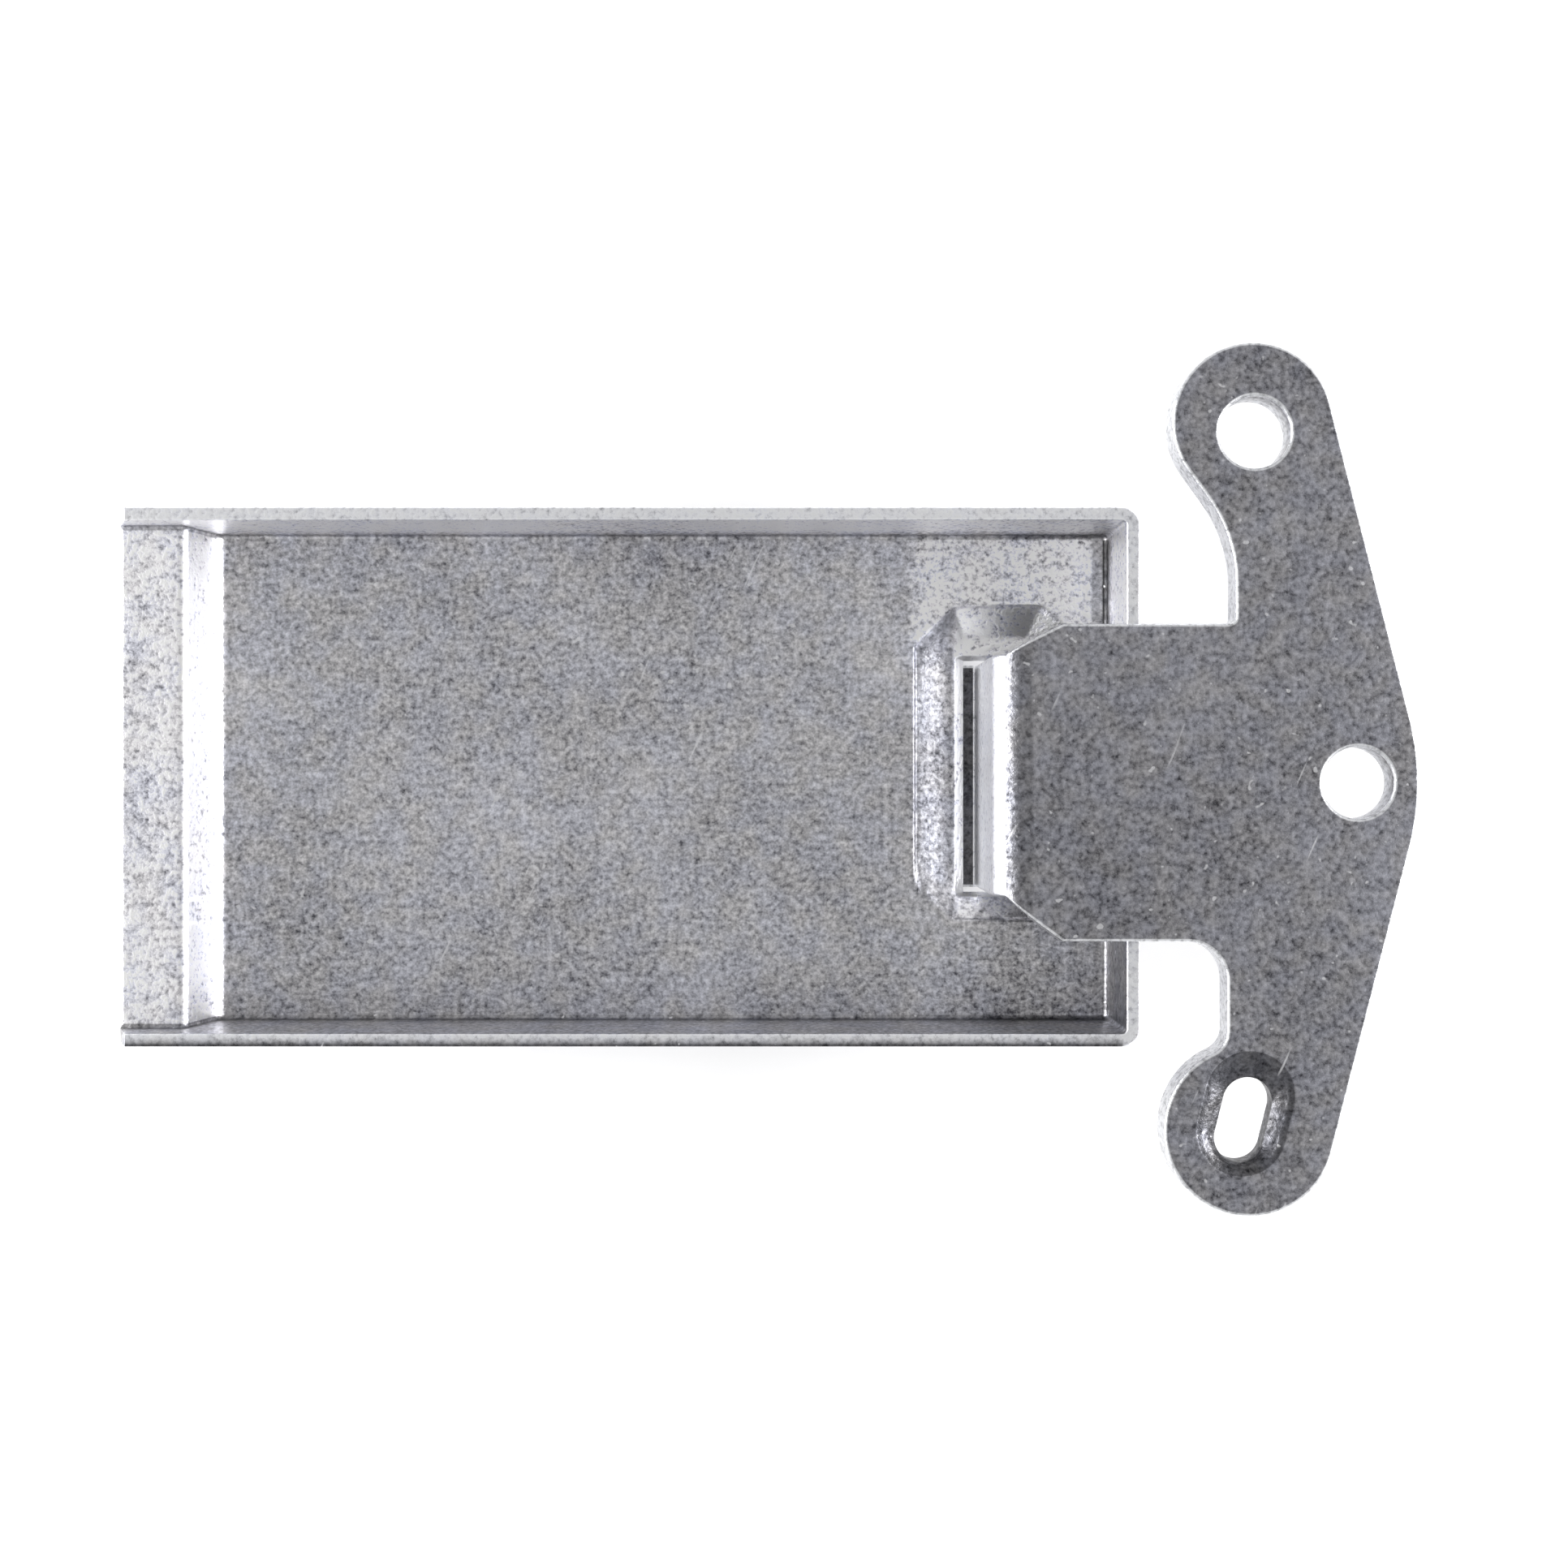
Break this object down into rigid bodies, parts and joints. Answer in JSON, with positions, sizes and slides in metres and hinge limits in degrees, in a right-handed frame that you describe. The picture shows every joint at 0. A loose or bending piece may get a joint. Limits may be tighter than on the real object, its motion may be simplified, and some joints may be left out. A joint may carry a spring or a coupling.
{
  "type": "stair gate latch",
  "caption": "Stamped steel gate latch: a T-shaped screw-on plate whose hooked tongue pivots a shallow pressed arm with a raised catch lip.",
  "frame": {"origin": "on the apex hole's axis, at the mounting plate's back face", "axes": "+X away from the arm, past the apex hole; +Y from the oblong hole's ear to the round hole's ear; +Z out of the mounting plate's front face"},
  "size_m": [0.1015, 0.0669, 0.017],
  "materials": {
    "plate_zinc": "matt mottled zinc plate, darker",
    "arm_zinc": "matt mottled zinc plate"
  },
  "bodies": {
    "plate": {"mounting_plate": "plate_zinc"},
    "arm": {"latch_arm": "arm_zinc"}
  },
  "joints": [
    {"name": "arm_swing", "type": "hinge", "parent": "plate", "child": "arm", "pos_m": [-0.0265, 0, -0.0111], "axis": [0, 1, 0], "range_deg": [0, 35]}
  ]
}
